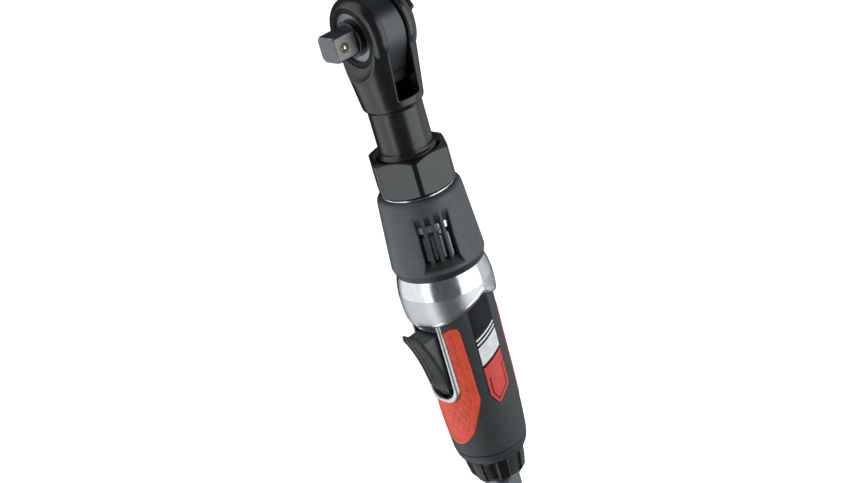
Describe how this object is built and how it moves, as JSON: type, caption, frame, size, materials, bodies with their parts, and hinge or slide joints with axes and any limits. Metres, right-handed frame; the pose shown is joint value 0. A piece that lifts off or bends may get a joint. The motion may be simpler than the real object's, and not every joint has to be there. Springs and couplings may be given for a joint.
{
  "type": "air ratchet",
  "caption": "Air ratchet wrench with a square drive on the head's side, a vane motor and planetary gears in the handle, and a sprung throttle lever.",
  "frame": {"origin": "on the drive axis at the shoulder of the square drive, where a socket seats", "axes": "-Y out along the square drive, +X along the tool from the head to the air inlet, +Z towards the side with the right-hand badge"},
  "size_m": [0.2838, 0.0551, 0.049],
  "materials": {
    "head_black": "gloss",
    "yoke_steel": "satin",
    "drive_steel": "satin",
    "polished_steel": "polished",
    "spring_steel": "satin",
    "washer_steel": "satin",
    "black_oxide": "satin",
    "ground_steel": "ground",
    "bronze": "satin",
    "brass": "satin",
    "screen_brass": "matte",
    "vane_resin": "matte",
    "bright_aluminium": "polished",
    "nut_black": "gloss",
    "boot_rubber": "satin",
    "grip_rubber": "matte",
    "collar_rubber": "matte",
    "red_rubber": "satin",
    "badge": "gloss",
    "lever_plastic": "satin",
    "knob_black": "gloss",
    "inlet_steel": "satin",
    "seal_rubber": "matte"
  },
  "bodies": {
    "housing": {"ratchet_housing": "head_black", "thrust_washer": "washer_steel", "retaining_ring": "black_oxide", "friction_spring": "spring_steel", "crank_bearing": "polished_steel", "ring_gear": "ground_steel", "gear_spacer": "washer_steel", "front_end_plate": "ground_steel", "front_bearing": "polished_steel", "motor_cylinder": "ground_steel", "rear_end_plate": "ground_steel", "rear_bearing": "polished_steel", "motor_dowels": "polished_steel", "motor_housing": "bright_aluminium", "clamp_nut": "nut_black", "exhaust_boot": "boot_rubber", "grip_sleeve": "grip_rubber", "grip_insert_front": "red_rubber", "grip_insert_back": "red_rubber", "badge_right": "badge", "badge_left": "badge", "lever_pin": "polished_steel", "throttle_bushing": "bronze", "pin_seal": "seal_rubber", "valve_seat": "bronze", "valve_seal": "seal_rubber", "valve_spring": "spring_steel", "rear_collar": "collar_rubber", "inlet_bushing": "inlet_steel", "inlet_screen": "screen_brass", "inlet_seal": "seal_rubber"},
    "drive": {"anvil": "drive_steel", "detent_spring": "spring_steel", "pawl_pins": "polished_steel", "pawl_springs": "spring_steel"},
    "ball": {"detent_ball": "polished_steel"},
    "yoke": {"ratchet_yoke": "yoke_steel"},
    "selector": {"selector_shaft": "washer_steel", "reverse_knob": "knob_black"},
    "pawl_f": {"pawl_forward": "drive_steel"},
    "pawl_r": {"pawl_reverse": "drive_steel"},
    "crank": {"crankshaft": "ground_steel", "planet_pins": "polished_steel"},
    "bushing": {"drive_bushing": "bronze"},
    "planet_1": {"planet_gear_1": "ground_steel"},
    "planet_2": {"planet_gear_2": "ground_steel"},
    "planet_3": {"planet_gear_3": "ground_steel"},
    "rotor": {"rotor": "ground_steel", "rotor_vanes": "vane_resin"},
    "lever": {"throttle_lever": "lever_plastic"},
    "pin": {"throttle_pin": "polished_steel"},
    "valve": {"throttle_valve": "brass"},
    "regulator": {"regulator_knob": "knob_black"}
  },
  "joints": [
    {"name": "anvil_spin", "type": "hinge", "parent": "housing", "child": "drive", "pos_m": [0, 0, 0], "axis": [0, -1, 0], "continuous": true},
    {"name": "detent_ball_press", "type": "slide", "parent": "drive", "child": "ball", "axis": [0, 0, -1], "range_m": [0, 0.0006], "stiffness_N_per_m": 400, "springref_m": -0.0005, "deforming": ["detent_spring"]},
    {"name": "yoke_swing", "type": "hinge", "parent": "housing", "child": "yoke", "pos_m": [0, 0, 0], "axis": [0, -1, 0], "range_deg": [-2.6, 2.6]},
    {"name": "reverse_knob_turn", "type": "hinge", "parent": "drive", "child": "selector", "pos_m": [0, 0.029, 0], "axis": [0, 1, 0], "range_deg": [0, 60]},
    {"name": "pawl_forward_tilt", "type": "hinge", "parent": "drive", "child": "pawl_f", "pos_m": [-0.0046, 0.015, 0.0086], "axis": [0, -1, 0], "range_deg": [-4, 0]},
    {"name": "pawl_reverse_tilt", "type": "hinge", "parent": "drive", "child": "pawl_r", "pos_m": [0.0046, 0.015, -0.0086], "axis": [0, -1, 0], "range_deg": [0, 4]},
    {"name": "rotor_spin", "type": "hinge", "parent": "housing", "child": "rotor", "pos_m": [0.112, 0.015, 0], "axis": [1, 0, 0], "continuous": true},
    {"name": "crank_spin", "type": "hinge", "parent": "housing", "child": "crank", "pos_m": [0.06, 0.015, 0], "axis": [1, 0, 0], "continuous": true},
    {"name": "drive_bushing_spin", "type": "hinge", "parent": "crank", "child": "bushing", "pos_m": [0.028, 0.0137, 0], "axis": [1, 0, 0], "continuous": true},
    {"name": "planet_1_spin", "type": "hinge", "parent": "crank", "child": "planet_1", "pos_m": [0.0765, 0.00758, 0], "axis": [1, 0, 0], "continuous": true},
    {"name": "planet_2_spin", "type": "hinge", "parent": "crank", "child": "planet_2", "pos_m": [0.0765, 0.01871, 0.00643], "axis": [1, 0, 0], "continuous": true},
    {"name": "planet_3_spin", "type": "hinge", "parent": "crank", "child": "planet_3", "pos_m": [0.0765, 0.01871, -0.00643], "axis": [1, 0, 0], "continuous": true},
    {"name": "lever_press", "type": "hinge", "parent": "housing", "child": "lever", "pos_m": [0.189, -0.0025, 0], "axis": [0, 0, -1], "range_deg": [0, 9], "stiffness_Nm_per_rad": 0.6, "springref_deg": -8.59},
    {"name": "throttle_pin_push", "type": "slide", "parent": "housing", "child": "pin", "axis": [0, 1, 0], "range_m": [0, 0.00205]},
    {"name": "throttle_valve_tilt", "type": "hinge", "parent": "housing", "child": "valve", "pos_m": [0.1998, 0.0095, 0], "axis": [0, 0, -1], "range_deg": [0, 4.9], "deforming": ["valve_spring"]},
    {"name": "regulator_turn", "type": "hinge", "parent": "housing", "child": "regulator", "pos_m": [0.245, 0.015, 0], "axis": [1, 0, 0], "range_deg": [-60, 60]}
  ],
  "couplings": [
    {"joint": "crank_spin", "follows": "rotor_spin", "ratio": 0.22222},
    {"joint": "planet_1_spin", "follows": "rotor_spin", "ratio": -0.62222},
    {"joint": "planet_2_spin", "follows": "rotor_spin", "ratio": -0.62222},
    {"joint": "planet_3_spin", "follows": "rotor_spin", "ratio": -0.62222},
    {"joint": "pawl_forward_tilt", "follows": "reverse_knob_turn", "ratio": -0.066667},
    {"joint": "pawl_reverse_tilt", "follows": "reverse_knob_turn", "ratio": 0.066667},
    {"joint": "throttle_pin_push", "follows": "lever_press", "m_per_rad": 0.013},
    {"joint": "throttle_valve_tilt", "follows": "lever_press", "ratio": 0.54167}
  ]
}
